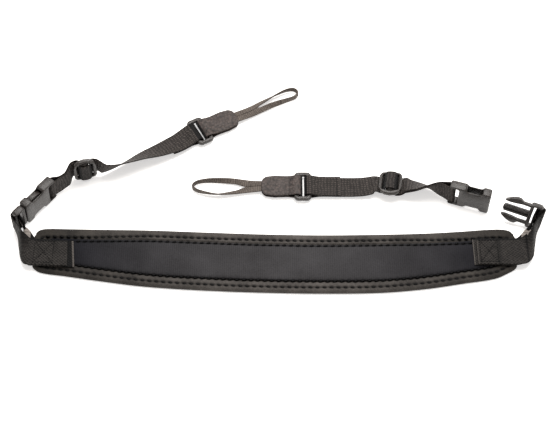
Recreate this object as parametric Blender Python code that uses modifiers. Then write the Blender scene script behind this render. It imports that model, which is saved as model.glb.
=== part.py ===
"""Camera neck strap with two camera connectors, lying on a flat surface.

A curved neoprene pad has a webbing loop sewn on each end, and each loop holds the male half of a
side-release buckle. A connector clips on to it: the female half, 3/4 in webbing with a slider, a
ring, a leather tab and a thin tape loop for the camera's eyelet. The left connector is clipped in
and the right one is not.

Lengths are in millimetres and angles in degrees. MM turns millimetres into Blender's metres.
+Z is up, +X runs along the pad and +Y runs from the pad to the connectors. The origin is on the
surface, at the middle of the strap's outline without its two tape loops.
"""

import math

import bmesh
import bpy
from mathutils import Matrix, Vector

MM = 0.001
GAP = 0.3

# Neck pad. The rows go from the left end to the right one: where the section is, where its middle
# lies and how wide it is.
PAD_EDGE_HEIGHT = 3.0
PAD_BORDER_HEIGHT = 4.3
PAD_RECESS_HEIGHT = 3.4
PAD_SECTIONS = (
    # along, middle, width
    (-196.4, -27.7, 25.6),
    (-194.2, -27.5, 35.0),
    (-188.0, -28.3, 41.4),
    (-168.0, -30.0, 44.6),
    (-140.0, -32.6, 48.6),
    (-105.0, -35.4, 53.0),
    (-60.0, -38.1, 54.6),
    (-10.0, -40.2, 54.8),
    (40.0, -41.1, 54.8),
    (85.0, -40.4, 54.6),
    (120.0, -38.2, 52.2),
    (150.0, -34.8, 49.0),
    (176.0, -31.4, 46.4),
    (187.5, -28.8, 40.8),
    (193.5, -28.1, 34.0),
    (196.0, -28.5, 24.0),
)
INNER_ROW_INSET = 10.4
PANEL_THICKNESS = 1.3
PANEL_CROWN = 1.1
PANEL_LEFT = -183.0
PANEL_RIGHT = 183.0

# Webbing.
END_WEBBING_AT_BAR = 17.4
CONNECTOR_WEBBING_WIDTH = 19.4
WEBBING_THICKNESS = 1.2
LAYER_PITCH = 1.6

# Side-release buckle. The male half is measured from its bar, the female half from its mouth.
BASE_LENGTH = 8.8
BASE_WIDTH = 22.0
BASE_THICKNESS = 6.2
BASE_OPENING_END = 6.0
BASE_OPENING_WIDTH = 18.4
MALE_BAR_RADIUS = 2.1
PRONG_THICKNESS = 4.0
PRONG_EDGE = (
    # along, across: the outer edge from the base to the tip, then the inner edge back
    (7.4, 9.4),
    (15.0, 9.4),
    (17.6, 11.4),
    (21.0, 11.6),
    (25.4, 10.0),
    (29.6, 7.4),
    (29.9, 6.6),
    (26.0, 6.2),
    (21.0, 6.6),
    (15.5, 7.4),
    (7.4, 7.2),
)
GUIDE_LENGTH = 30.0
GUIDE_WIDTH = 5.0
GUIDE_RIB_WIDTH = 1.5
GUIDE_RIB_THICKNESS = 4.8
FEMALE_LENGTH = 34.4
FEMALE_THICKNESS = 8.2
FEMALE_EDGE = (
    # along, across: one side of the body from the mouth to the tail
    (0.0, 12.2),
    (6.8, 12.2),
    (8.6, 9.2),
    (18.6, 9.2),
    (21.4, 11.8),
    (FEMALE_LENGTH, 11.6),
)
CAVITY_LENGTH = 23.0
CAVITY_WIDTH = 21.0
CAVITY_HEIGHT = 5.8
WINDOW_START = 6.8
WINDOW_END = 19.6
TAIL_OPENING_START = 26.2
TAIL_OPENING_WIDTH = 20.4
TAIL_BAR_AT = 32.4
TAIL_BAR_RADIUS = 1.7

# Slider, ring and leather tab.
SLIDER_LENGTH = 19.0
SLIDER_CORNER = 3.6
SLIDER_EDGE = (
    # along, across: a quarter of the outline from the middle of a side to a rail's end
    (0.0, 14.2),
    (4.6, 13.6),
    (7.9, 11.8),
    (9.5, 7.6),
)
SLIDER_BOW = 1.8
SLIDER_THICKNESS = 3.4
SLIDER_RAIL = 2.8
SLIDER_CENTRE_BAR = 3.4
SLIDER_OPENING_WIDTH = 20.6
RING_LENGTH = 14.4
RING_WIDTH = 28.0
RING_THICKNESS = 3.4
RING_BAR = 3.2
RING_OPENING_WIDTH = 21.0
TAB_LENGTH = 29.0
TAB_WIDTH = 20.4
TAB_THICKNESS = 4.0
TAB_BARREL_RADIUS = 3.6
TAPE_WIDTH = 5.0
TAPE_THICKNESS = 1.3

# How each connector lies: a row for each bend or twist, from the buckle's male bar to the end of the
# leather tab. The tilt turns the webbing about its length, from 0 flat through 90 on its edge to 180
# flat again.
LEFT_LINE = (
    # x, y, z, tilt
    (-210.4, -5.9, 12.5, 93.0),
    (-198.5, 10.0, 12.5, 93.0),
    (-185.0, 27.4, 12.3, 93.0),
    (-178.3, 31.6, 11.8, 94.0),
    (-170.5, 37.4, 12.6, 96.0),
    (-158.8, 44.4, 14.2, 98.0),
    (-148.0, 45.0, 12.6, 104.0),
    (-137.5, 48.4, 10.3, 117.0),
    (-124.5, 55.2, 8.6, 131.0),
    (-111.5, 63.4, 6.8, 146.0),
    (-98.0, 70.6, 5.1, 161.0),
    (-84.0, 79.3, 3.9, 174.0),
    (-74.0, 87.0, 3.8, 180.0),
    (-65.1, 92.4, 3.8, 180.0),
    (-50.0, 100.2, 3.8, 180.0),
    (-36.5, 106.8, 3.8, 180.0),
    (-27.0, 111.4, 3.8, 180.0),
)
RIGHT_LINE = (
    (176.7, 12.7, 12.4, 90.0),
    (161.4, 17.6, 12.4, 90.0),
    (146.2, 22.6, 12.2, 90.0),
    (137.0, 26.6, 11.0, 84.0),
    (127.0, 29.6, 9.6, 55.0),
    (117.0, 31.4, 8.0, 34.0),
    (106.5, 33.4, 7.2, 20.0),
    (95.5, 35.6, 6.6, 15.0),
    (84.0, 35.4, 5.2, 8.0),
    (72.0, 34.0, 3.9, 2.0),
    (52.0, 34.0, 3.8, 0.0),
    (24.3, 34.2, 3.8, 0.0),
    (5.0, 34.2, 3.8, 0.0),
    (-9.0, 34.2, 3.8, 0.0),
)

# The open male half on the right: where its bar lies, where it points and how it leans.
RIGHT_MALE_BAR = (214.9, -2.4, 11.8)
RIGHT_MALE_HEADING = 160.0
RIGHT_MALE_PITCH = 4.0
RIGHT_MALE_TILT = 114.0


def vector(x, y, z=0.0):
    return Vector((x, y, z))


def srgb_to_linear(channel):
    if channel <= 0.04045:
        return channel / 12.92
    return ((channel + 0.055) / 1.055) ** 2.4


def make_material(name, hex_colour, roughness):
    material = bpy.data.materials.new(name)
    material.use_nodes = True
    shader = material.node_tree.nodes["Principled BSDF"]
    channels = [int(hex_colour[i : i + 2], 16) / 255 for i in (1, 3, 5)]
    shader.inputs["Base Color"].default_value = (*map(srgb_to_linear, channels), 1.0)
    shader.inputs["Roughness"].default_value = roughness
    shader.inputs["Metallic"].default_value = 0.0
    return material


def smooth_rows(rows, step):
    """Rows on a smooth curve through the given rows, about step apart. A row starts with a place."""
    knots = [0.0]
    for before, after in zip(rows, rows[1:]):
        knots.append(knots[-1] + math.dist(before[:3], after[:3]))
    last = len(rows) - 1

    def slope(index):
        low, high = max(index - 1, 0), min(index + 1, last)
        span = knots[high] - knots[low]
        return [(b - a) / span for a, b in zip(rows[low], rows[high])]

    smooth = []
    for index in range(last):
        span = knots[index + 1] - knots[index]
        slopes = (slope(index), slope(index + 1))
        count = max(1, round(span / step))
        for k in range(count):
            t = k / count
            weights = (
                (1 + 2 * t) * (1 - t) ** 2,
                t * (1 - t) ** 2 * span,
                t * t * (3 - 2 * t),
                t * t * (t - 1) * span,
            )
            columns = zip(rows[index], slopes[0], rows[index + 1], slopes[1])
            smooth.append([sum(w * v for w, v in zip(weights, column)) for column in columns])
    smooth.append(list(rows[last]))
    return smooth


class Line:
    """A strap's middle line, with the way it faces at each place along it."""

    STEP = 1.5

    def __init__(self, rows):
        self.rows = smooth_rows(rows, self.STEP)
        self.at = [0.0]
        for before, after in zip(self.rows, self.rows[1:]):
            self.at.append(self.at[-1] + math.dist(before[:3], after[:3]))
        self.length = self.at[-1]

    def place(self, along):
        """(x, y, z, tilt) at a distance along the line, carried on straight past its ends."""
        index = 0
        while index < len(self.at) - 2 and self.at[index + 1] < along:
            index += 1
        share = (along - self.at[index]) / (self.at[index + 1] - self.at[index])
        low, high = self.rows[index], self.rows[index + 1]
        return [a + (b - a) * share for a, b in zip(low, high)]

    def frame(self, along):
        """(middle, forward, width, up) as vectors at a distance along the line."""
        *middle, tilt = self.place(along)
        forward = Vector(self.place(along + 1.0)[:3]) - Vector(self.place(along - 1.0)[:3])
        return frame_from(Vector(middle), forward.normalized(), tilt)


def frame_from(middle, forward, tilt):
    flat = Vector((0.0, 0.0, 1.0)).cross(forward).normalized()
    rise = forward.cross(flat)
    turn = math.radians(tilt)
    width = flat * math.cos(turn) + rise * math.sin(turn)
    return middle, forward, width, forward.cross(width)


def frame_matrix(frame, lift=0.0):
    """A matrix that takes +X forward, +Y across and +Z up from the strap's face."""
    middle, forward, width, up = frame
    turn = Matrix((forward, width, up)).transposed().to_4x4()
    return Matrix.Translation((middle + up * lift) * MM) @ turn


def arc(centre, radius, start, end, steps):
    """Points of an arc, from one angle to another."""
    angles = [math.radians(start + (end - start) * k / steps) for k in range(steps + 1)]
    return [
        (centre[0] + radius * math.cos(angle), centre[1] + radius * math.sin(angle))
        for angle in angles
    ]


def rounded(corners, radius, steps):
    """The outline with each corner rounded, as far as its two sides allow."""
    outline = []
    for index, corner in enumerate(corners):
        here = Vector(corner)
        before = Vector(corners[index - 1]) - here
        after = Vector(corners[(index + 1) % len(corners)]) - here
        half = before.angle(after) / 2
        reach = min(radius / math.tan(half), 0.45 * before.length, 0.45 * after.length)
        size = reach * math.tan(half)
        if math.degrees(half) > 80:
            outline.append(tuple(here))
            continue
        start = here + before.normalized() * reach
        end = here + after.normalized() * reach
        centre = here + (before.normalized() + after.normalized()).normalized() * size / math.sin(half)
        for k in range(steps + 1):
            spoke = (start - centre).lerp(end - centre, k / steps).normalized() * size
            outline.append(tuple(centre + spoke))
    return outline


def box_outline(low, high, half_width):
    return [(low, -half_width), (high, -half_width), (high, half_width), (low, half_width)]


def mirrored(edge):
    """A closed outline from one side's edge, which runs along +X on the +Y side."""
    return [(x, -y) for x, y in edge] + [(x, y) for x, y in reversed(edge)]


def make_plate(name, outlines, thickness, rounding=0.0):
    """A flat plate with rounded edges. The outlines after the first are its holes."""
    curve = bpy.data.curves.new(name, "CURVE")
    curve.dimensions = "2D"
    curve.fill_mode = "BOTH"
    curve.extrude = (thickness / 2 - rounding) * MM
    curve.bevel_depth = rounding * MM
    curve.bevel_resolution = 1
    curve.offset = -rounding * MM
    for outline in outlines:
        spline = curve.splines.new("POLY")
        spline.points.add(len(outline) - 1)
        for point, (x, y) in zip(spline.points, outline):
            point.co = (x * MM, y * MM, 0.0, 1.0)
        spline.use_cyclic_u = True
    return to_mesh(bpy.data.objects.new(name, curve))


def to_mesh(source):
    """The curve's shape as a closed mesh object with the same name."""
    bpy.context.scene.collection.objects.link(source)
    bpy.context.view_layer.update()
    graph = bpy.context.evaluated_depsgraph_get()
    mesh = bpy.data.meshes.new_from_object(source.evaluated_get(graph))
    name = source.name
    bpy.data.objects.remove(source)
    work = bmesh.new()
    work.from_mesh(mesh)
    bmesh.ops.remove_doubles(work, verts=work.verts, dist=0.002 * MM)
    bmesh.ops.recalc_face_normals(work, faces=work.faces)
    work.to_mesh(mesh)
    work.free()
    mesh.name = name
    return bpy.data.objects.new(name, mesh)


def make_rod(name, radius, length, sides=12):
    """A round rod along Y, with its middle at the origin."""
    mesh = bpy.data.meshes.new(name)
    work = bmesh.new()
    turn = Matrix.Rotation(math.radians(90), 4, "X") @ Matrix.Rotation(math.radians(180 / sides), 4, "Z")
    bmesh.ops.create_cone(
        work,
        cap_ends=True,
        segments=sides,
        radius1=radius * MM,
        radius2=radius * MM,
        depth=length * MM,
        matrix=turn,
    )
    work.to_mesh(mesh)
    work.free()
    return bpy.data.objects.new(name, mesh)


def combine(name, body, steps):
    """The body after each Boolean step, an (operation, object) pair. Its tools are removed."""
    link(body, CUTTERS)
    for operation, tool in steps:
        link(tool, CUTTERS)
        modifier = body.modifiers.new(operation.title(), "BOOLEAN")
        modifier.operation = operation
        modifier.solver = "EXACT"
        modifier.object = tool
    bpy.context.view_layer.update()
    graph = bpy.context.evaluated_depsgraph_get()
    mesh = bpy.data.meshes.new_from_object(body.evaluated_get(graph))
    for _, tool in steps:
        bpy.data.objects.remove(tool)
    bpy.data.objects.remove(body)
    work = bmesh.new()
    work.from_mesh(mesh)
    bmesh.ops.remove_doubles(work, verts=work.verts, dist=0.005 * MM)
    bmesh.ops.dissolve_limit(work, angle_limit=math.radians(1), verts=work.verts, edges=work.edges)
    work.to_mesh(mesh)
    work.free()
    mesh.name = name
    return mesh


def moved(item, x=0.0, y=0.0, z=0.0):
    item.location = vector(x, y, z) * MM
    return item


def link(item, collection):
    for other in list(item.users_collection):
        other.objects.unlink(item)
    collection.objects.link(item)


def add_part(name, mesh, material, matrix=None):
    """A named sub-part from a mesh, placed by its matrix under the strap's empty."""
    item = bpy.data.objects.new(name, mesh.copy())
    item.data.name = name
    item.data.materials.clear()
    item.data.materials.append(material)
    item.data.shade_smooth()
    item.data.set_sharp_from_angle(angle=math.radians(35))
    STRAP.objects.link(item)
    item.parent = ORIGIN
    if matrix is not None:
        item.matrix_local = matrix
    return item


# Soft parts


def pad_row(row, heights):
    """Points of one section across the pad, from (inset from the edge, height) pairs."""
    along, middle, width = row[0], row[1], row[2]
    points = []
    for side in (-1, 1):
        pairs = heights if side < 0 else reversed(heights)
        for inset, height in pairs:
            across = max(width / 2 - inset, 0.0)
            points.append(vector(along, middle + side * across, height))
    return points


def loft(name, sections):
    """A closed mesh through sections that each go once round, with a flat cap on each end."""
    mesh = bpy.data.meshes.new(name)
    work = bmesh.new()
    rings = [[work.verts.new(point * MM) for point in section] for section in sections]
    for ring, after in zip(rings, rings[1:]):
        for k in range(len(ring)):
            follow = (k + 1) % len(ring)
            work.faces.new((ring[k], ring[follow], after[follow], after[k]))
    work.faces.new(list(reversed(rings[0])))
    work.faces.new(rings[-1])
    bmesh.ops.recalc_face_normals(work, faces=work.faces)
    work.to_mesh(mesh)
    work.free()
    return mesh


def make_neck_pad():
    """The pad's cage: a flat underside, rounded long edges, a raised border and a shallow recess."""
    top = (
        (0.0, 1.6),
        (1.2, PAD_EDGE_HEIGHT + 0.8),
        (5.6, PAD_BORDER_HEIGHT),
        (9.6, PAD_BORDER_HEIGHT),
        (INNER_ROW_INSET, PAD_RECESS_HEIGHT),
        (INNER_ROW_INSET + 3.0, PAD_RECESS_HEIGHT),
    )
    sections = []
    for row in PAD_SECTIONS:
        across = pad_row(row, top)
        under = pad_row(row, ((0.0, 0.4), (1.0, 0.0), (8.0, 0.0)))
        sections.append(across + list(reversed(under)))
    return loft("neck_pad", sections)


def panel_crown(along):
    """How far the panel bulges: fully along its middle, and not at all under the end webbing."""
    return max(0.0, 1.0 - (abs(along) / 148.0) ** 6)


def make_centre_panel():
    rows = smooth_rows([(a, m, 0.0, w) for a, m, w in PAD_SECTIONS], 12.0)
    rows = [(a, m, w) for a, m, _, w in rows if PANEL_LEFT <= a <= PANEL_RIGHT]
    base = PAD_RECESS_HEIGHT + GAP + 0.1
    edge = INNER_ROW_INSET + 1.2
    sections = []
    for row in rows:
        crown = PANEL_CROWN * panel_crown(row[0])
        top = (
            (edge, base + 0.5),
            (edge + 1.2, base + PANEL_THICKNESS),
            (edge + 8.0, base + PANEL_THICKNESS + crown * 0.8),
        )
        middle = [vector(row[0], row[1], base + PANEL_THICKNESS + crown)]
        across = pad_row(row, top)
        across = across[:3] + middle + across[3:]
        under = pad_row(row, ((edge, base),))
        sections.append(across + list(reversed(under)))
    return loft("centre_panel", sections)


def make_ribbon(name, stations, thickness, columns=2):
    """An open surface along (middle, width direction, width) stations, thickened by Solidify."""
    mesh = bpy.data.meshes.new(name)
    work = bmesh.new()
    rows = []
    for middle, direction, width in stations:
        shares = [k / columns - 0.5 for k in range(columns + 1)]
        rows.append([work.verts.new((middle + direction * width * share) * MM) for share in shares])
    for row, after in zip(rows, rows[1:]):
        for k in range(columns):
            work.faces.new((row[k], row[k + 1], after[k + 1], after[k]))
    work.to_mesh(mesh)
    work.free()
    item = bpy.data.objects.new(name, mesh)
    link(item, CUTTERS)
    solidify = item.modifiers.new("Thickness", "SOLIDIFY")
    solidify.thickness = thickness * MM
    solidify.offset = 0.0
    solidify.use_even_offset = True
    bpy.context.view_layer.update()
    graph = bpy.context.evaluated_depsgraph_get()
    solid = bpy.data.meshes.new_from_object(item.evaluated_get(graph))
    bpy.data.objects.remove(item)
    solid.name = name
    return solid


# Hardware


def male_buckle_mesh():
    """Bar, base, two sprung prongs and a ribbed guide. The bar's middle is the origin."""
    base = make_plate(
        "base", [rounded(box_outline(-1.2, BASE_LENGTH, BASE_WIDTH / 2), 2.0, 2)], BASE_THICKNESS, 0.9
    )
    opening = make_plate(
        "opening", [box_outline(-9.0, BASE_OPENING_END, BASE_OPENING_WIDTH / 2)], BASE_THICKNESS * 2
    )
    bar = make_rod("bar", MALE_BAR_RADIUS, BASE_WIDTH - 2.0)
    steps = [("DIFFERENCE", opening), ("UNION", bar)]
    for side in (-1, 1):
        edge = [(x, side * y) for x, y in PRONG_EDGE]
        steps.append(("UNION", make_plate("prong", [edge], PRONG_THICKNESS, 0.5)))
    guide = box_outline(BASE_LENGTH - 1.5, GUIDE_LENGTH, GUIDE_WIDTH / 2)
    steps.append(("UNION", make_plate("guide", [rounded(guide, 1.2, 1)], PRONG_THICKNESS - 1.2, 0.3)))
    rib = box_outline(BASE_LENGTH - 1.0, GUIDE_LENGTH - 0.8, GUIDE_RIB_WIDTH / 2)
    for side in (-1, 1):
        plate = make_plate("rib", [rib], GUIDE_RIB_THICKNESS)
        steps.append(("UNION", moved(plate, y=side * (GUIDE_WIDTH - GUIDE_RIB_WIDTH - 0.4) / 2)))
    return combine("male_buckle", base, steps)


def female_buckle_mesh():
    """A hollow body with two side windows and a forked tail with a bar. Its mouth is at the origin."""
    body = make_plate("body", [rounded(mirrored(FEMALE_EDGE), 1.6, 2)], FEMALE_THICKNESS, 1.1)
    cavity = make_plate(
        "cavity", [box_outline(-3.0, CAVITY_LENGTH, CAVITY_WIDTH / 2)], CAVITY_HEIGHT
    )
    windows = make_plate(
        "windows", [rounded(box_outline(WINDOW_START, WINDOW_END, 16.0), 0.8, 1)], CAVITY_HEIGHT - 0.4
    )
    tail = make_plate(
        "tail",
        [rounded(box_outline(TAIL_OPENING_START, 44.0, TAIL_OPENING_WIDTH / 2), 1.2, 1)],
        FEMALE_THICKNESS * 2,
    )
    bar = make_rod("bar", TAIL_BAR_RADIUS, TAIL_OPENING_WIDTH + 1.4)
    steps = [
        ("DIFFERENCE", cavity),
        ("DIFFERENCE", windows),
        ("DIFFERENCE", tail),
        ("UNION", moved(bar, x=TAIL_BAR_AT)),
    ]
    return combine("female_buckle", body, steps)


def slider_mesh():
    """A bowed slider: two rails, a lower centre bar and two side rails. Its middle is the origin."""
    end = SLIDER_LENGTH / 2
    edge = [(-x, y) for x, y in reversed(SLIDER_EDGE[1:])] + list(SLIDER_EDGE)
    outline = rounded(mirrored(edge), SLIDER_CORNER, 2)
    near = SLIDER_CENTRE_BAR / 2
    far = SLIDER_LENGTH / 2 - SLIDER_RAIL
    half = SLIDER_OPENING_WIDTH / 2
    openings = [
        rounded(box_outline(near, far, half), 1.0, 1),
        rounded(box_outline(-far, -near, half), 1.0, 1),
    ]
    mesh = make_plate("slider", [outline, *openings], SLIDER_THICKNESS, 0.8).data
    for vertex in mesh.vertices:
        vertex.co.z -= SLIDER_BOW * MM * (1.0 - (vertex.co.x / (end * MM)) ** 2)
    return mesh


def ring_mesh():
    """A moulded rectangular ring with one opening. Its middle is the origin."""
    outline = rounded(box_outline(-RING_LENGTH / 2, RING_LENGTH / 2, RING_WIDTH / 2), 3.4, 3)
    far = RING_LENGTH / 2 - RING_BAR
    opening = rounded(box_outline(-far, far, RING_OPENING_WIDTH / 2), 1.0, 1)
    return make_plate("tab_ring", [outline, opening], RING_THICKNESS, 1.0).data


def leather_tab_mesh():
    """Leather folded round a bar at the origin, with its two leaves closed into one tab."""
    half = TAB_WIDTH / 2
    edge = [
        (0.0, half - 0.5),
        (4.0, half - 0.6),
        (18.0, half),
        (25.0, half - 1.2),
        (TAB_LENGTH, half - 4.6),
    ]
    tab = make_plate("tab", [rounded(mirrored(edge), 5.0, 3)], TAB_THICKNESS, 0.9)
    barrel = make_rod("barrel", TAB_BARREL_RADIUS, TAB_WIDTH - 1.0, 16)
    bore = make_rod("bore", RING_BAR / 2 + 0.7, TAB_WIDTH * 2, 12)
    return combine("leather_tab", tab, [("UNION", barrel), ("DIFFERENCE", bore)])


# Assembly. STRAP holds the sub-parts, CUTTERS holds what shapes them, and ORIGIN sets the strap's
# middle over the world's origin.

STRAP_MIDDLE = (2.9, 23.2)

# The end webbing: one edge and then the other, from its end on the pad to the buckle's bar.
LEFT_INNER = (
    # near edge x, y, z, far edge x, y, z
    (-162.7, -46.4, 5.9, -162.7, -22.0, 5.9),
    (-184.0, -45.4, 5.9, -184.0, -21.0, 5.9),
    (-193.0, -45.0, 5.8, -193.0, -20.6, 5.8),
    (-199.0, -43.0, 3.8, -196.8, -20.2, 6.8),
    (-201.6, -35.0, 2.2, -197.0, -18.0, 10.8),
    (-202.8, -24.5, 1.8, -199.2, -15.4, 16.4),
    (-203.6, -14.0, 2.6, -202.2, -12.0, 20.0),
)
LEFT_OUTER = (
    (-209.6, -16.0, 2.6, -207.4, -14.5, 20.6),
    (-207.0, -28.5, 2.8, -203.6, -19.8, 19.4),
    (-204.4, -39.0, 4.8, -200.6, -20.8, 14.8),
    (-200.4, -44.4, 7.0, -197.8, -20.8, 9.4),
    (-193.0, -45.0, 7.5, -193.0, -20.6, 7.5),
    (-184.0, -45.4, 7.5, -184.0, -21.0, 7.5),
    (-167.3, -46.2, 7.5, -167.3, -21.8, 7.5),
)
RIGHT_INNER = (
    (160.0, -44.6, 5.9, 160.0, -20.2, 5.9),
    (184.0, -44.6, 5.9, 184.0, -20.2, 5.9),
    (193.0, -44.6, 5.8, 193.0, -20.2, 5.8),
    (199.2, -42.4, 3.8, 197.8, -19.6, 7.8),
    (203.0, -34.6, 2.4, 201.6, -18.4, 13.2),
    (206.0, -23.6, 2.0, 205.4, -14.6, 18.2),
    (207.6, -13.6, 2.8, 209.0, -6.4, 19.2),
)
RIGHT_OUTER = (
    (212.8, -14.5, 2.6, 213.6, -7.0, 18.8),
    (210.4, -26.0, 2.6, 207.8, -16.0, 18.8),
    (207.8, -36.5, 4.6, 204.0, -18.8, 15.0),
    (202.0, -43.4, 6.8, 199.8, -20.0, 9.4),
    (193.0, -44.6, 7.5, 193.0, -20.2, 7.5),
    (184.0, -44.6, 7.5, 184.0, -20.2, 7.5),
    (163.0, -44.6, 7.5, 163.0, -20.2, 7.5),
)
BAR_WRAP_RADIUS = MALE_BAR_RADIUS + GAP + WEBBING_THICKNESS / 2 + 0.3
BAR_LEAD = 3.5

# The tape loops: a row for each bend, from one end at the tab round to the other.
LEFT_TAPE = (
    # x, y, z, tilt
    (-32.4, 112.2, 2.6, 180.0),
    (-21.6, 118.6, 2.6, 172.0),
    (-10.5, 126.2, 2.8, 150.0),
    (0.0, 133.2, 3.2, 120.0),
    (10.0, 138.6, 3.4, 100.0),
    (16.6, 139.4, 3.4, 90.0),
    (20.0, 135.6, 3.4, 90.0),
    (17.2, 130.8, 3.4, 90.0),
    (10.0, 127.4, 3.4, 100.0),
    (-2.0, 122.4, 3.2, 130.0),
    (-12.0, 117.2, 2.8, 155.0),
    (-20.4, 112.4, 2.6, 172.0),
    (-30.0, 107.0, 2.6, 180.0),
)
RIGHT_TAPE = (
    (-11.9, 37.6, 2.8, 180.0),
    (-22.0, 38.8, 2.4, 174.0),
    (-36.0, 40.6, 2.6, 150.0),
    (-48.0, 41.0, 3.0, 120.0),
    (-58.0, 40.6, 3.2, 100.0),
    (-66.0, 38.6, 3.2, 90.0),
    (-69.0, 34.8, 3.2, 90.0),
    (-66.0, 31.0, 3.2, 90.0),
    (-58.0, 28.4, 3.2, 104.0),
    (-48.0, 27.0, 3.0, 124.0),
    (-36.0, 28.6, 2.6, 150.0),
    (-22.0, 31.2, 2.4, 174.0),
    (-11.9, 32.0, 2.8, 180.0),
)

# Where the pieces of a connector lie along its line, measured from its start.
FEMALE_FROM_BAR = BASE_LENGTH + GAP
LEFT_FEMALE_AT = FEMALE_FROM_BAR
RIGHT_FEMALE_AT = 0.0
LEFT_SLIDER_AT = 73.6
RIGHT_SLIDER_AT = 84.0
LEFT_RING_AT = 176.0
RIGHT_RING_AT = 152.0
OVERLAP = 26.0
SLIDER_LIFT = 1.3
HELD_START = 10.0
HELD_END = 17.0


def end_webbing(name, inner, outer, bar, side):
    """One band of webbing: from the pad, round the buckle's bar, and back on top of itself."""
    middle, forward, width, up = bar
    half = width * END_WEBBING_AT_BAR / 2
    ends = [Vector(row[:3]) + Vector(row[3:]) for row in (inner[-1], outer[0])]
    back = (ends[0] + ends[1]) / 4 - middle
    away = math.degrees(math.atan2(back.dot(up), back.dot(forward)))
    bend = arc((0.0, 0.0), BAR_WRAP_RADIUS, away - side * 90.0, away - side * 270.0, 8)
    lead = Vector((math.cos(math.radians(away)), math.sin(math.radians(away)))) * BAR_LEAD
    wrap = []
    for x, y in (Vector(bend[0]) + lead, *bend, Vector(bend[-1]) + lead):
        spot = middle + forward * x + up * y
        wrap.append((*(spot - half), *(spot + half)))
    stations = []
    for row in smooth_rows((*inner, *wrap, *outer), 3.0):
        near, far = Vector(row[:3]), Vector(row[3:])
        stations.append(((near + far) / 2, (far - near).normalized(), (far - near).length))
    return make_ribbon(name, stations, WEBBING_THICKNESS)


def webbing_route(tail_bar, slider, ring_bar):
    """(along, off the line) points of a connector's webbing, from its sewn end at the ring."""
    layer = LAYER_PITCH / 2
    tail_radius = TAIL_BAR_RADIUS + GAP + WEBBING_THICKNESS / 2 + 0.2
    ring_radius = RING_THICKNESS / 2 + GAP + WEBBING_THICKNESS / 2 + 0.35
    over_centre_bar = (
        # along, off: from the ring's side, over the centre bar and under both rails
        (15.0, -1.8),
        (10.2, -3.1),
        (7.7, -3.7),
        (5.7, -3.1),
        (5.1, -1.3),
        (4.7, 0.4),
        (3.6, 1.9),
        (2.0, 2.65),
        (0.0, 2.85),
        (-2.0, 2.65),
        (-3.6, 1.9),
        (-4.7, 0.4),
        (-5.1, -1.3),
        (-5.7, -3.1),
        (-7.7, -3.7),
        (-10.2, -3.1),
        (-14.0, -1.0),
    )
    sewn_to_centre_bar = (
        (-14.0, -2.7),
        (-10.2, -4.9),
        (-7.6, -5.4),
        (-4.9, -4.7),
        (-3.5, -2.8),
        (-2.9, -1.2),
        (-2.6, 0.2),
        (-1.5, 1.1),
        (0.0, 1.25),
        (1.5, 1.1),
        (2.7, 0.2),
        (3.1, -1.2),
    )
    lift = SLIDER_LIFT
    route = [(ring_bar - OVERLAP, layer), (ring_bar - 9.0, layer)]
    route += arc((ring_bar, 0.0), ring_radius, 115.0, -115.0, 10)
    route += [(ring_bar - 9.0, -layer), (ring_bar - OVERLAP, -layer)]
    route += [(slider + along, off + lift) for along, off in over_centre_bar]
    route += [(tail_bar + 9.0, layer)]
    route += arc((tail_bar, 0.0), tail_radius, 65.0, 295.0, 10)
    route += [(tail_bar + 9.0, -layer)]
    route += [(slider + along, off + lift) for along, off in sewn_to_centre_bar]
    return route


def held_frame(line, along, slider):
    """The line's frame, held straight where the webbing runs through the slider."""
    middle, forward, width, up = line.frame(along)
    held, ahead, across, face = line.frame(slider)
    share = min(max((HELD_END - abs(along - slider)) / (HELD_END - HELD_START), 0.0), 1.0)
    share = share * share * (3.0 - 2.0 * share)
    middle = middle.lerp(held + ahead * (along - slider), share)
    width = width.lerp(across, share).normalized()
    return middle, forward, width, up.lerp(face, share).normalized()


def connector_webbing(name, line, tail_bar, slider, ring_bar):
    route = [(along, off, 0.0) for along, off in webbing_route(tail_bar, slider, ring_bar)]
    stations = []
    for along, off, _ in smooth_rows(route, 3.4):
        middle, _, width, up = held_frame(line, along, slider)
        stations.append((middle + up * off, width, CONNECTOR_WEBBING_WIDTH))
    return make_ribbon(name, stations, WEBBING_THICKNESS)


def tape_loop(name, rows):
    line = Line(rows)
    count = round(line.length / 3.5)
    stations = []
    for k in range(count + 1):
        middle, _, width, _ = line.frame(line.length * k / count)
        stations.append((middle, width, TAPE_WIDTH))
    return make_ribbon(name, stations, TAPE_THICKNESS, columns=1)


def add_connector(side, rows, female_at, slider_at, ring_at, tape_rows):
    line = Line(rows)
    tail_bar = female_at + TAIL_BAR_AT
    leather_bar = ring_at + RING_LENGTH - RING_BAR
    webbing = connector_webbing("webbing", line, tail_bar, slider_at, ring_at)
    slider_frame = frame_matrix(line.frame(slider_at), SLIDER_LIFT)
    ring_frame = frame_matrix(line.frame((ring_at + leather_bar) / 2))
    tab_frame = frame_matrix(line.frame(leather_bar))
    female_frame = frame_matrix(line.frame(female_at + 12.0)) @ Matrix.Translation((-12.0 * MM, 0, 0))
    add_part("female_buckle_" + side, MESHES["female"], PLASTIC, female_frame)
    add_part("connector_webbing_" + side, webbing, NYLON)
    add_part("slider_" + side, MESHES["slider"], PLASTIC, slider_frame)
    add_part("tab_ring_" + side, MESHES["ring"], PLASTIC, ring_frame)
    add_part("leather_tab_" + side, MESHES["tab"], LEATHER, tab_frame)
    add_part("loop_tape_" + side, tape_loop("tape", tape_rows), TAPE)


for old in list(bpy.data.objects):
    bpy.data.objects.remove(old)

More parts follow.
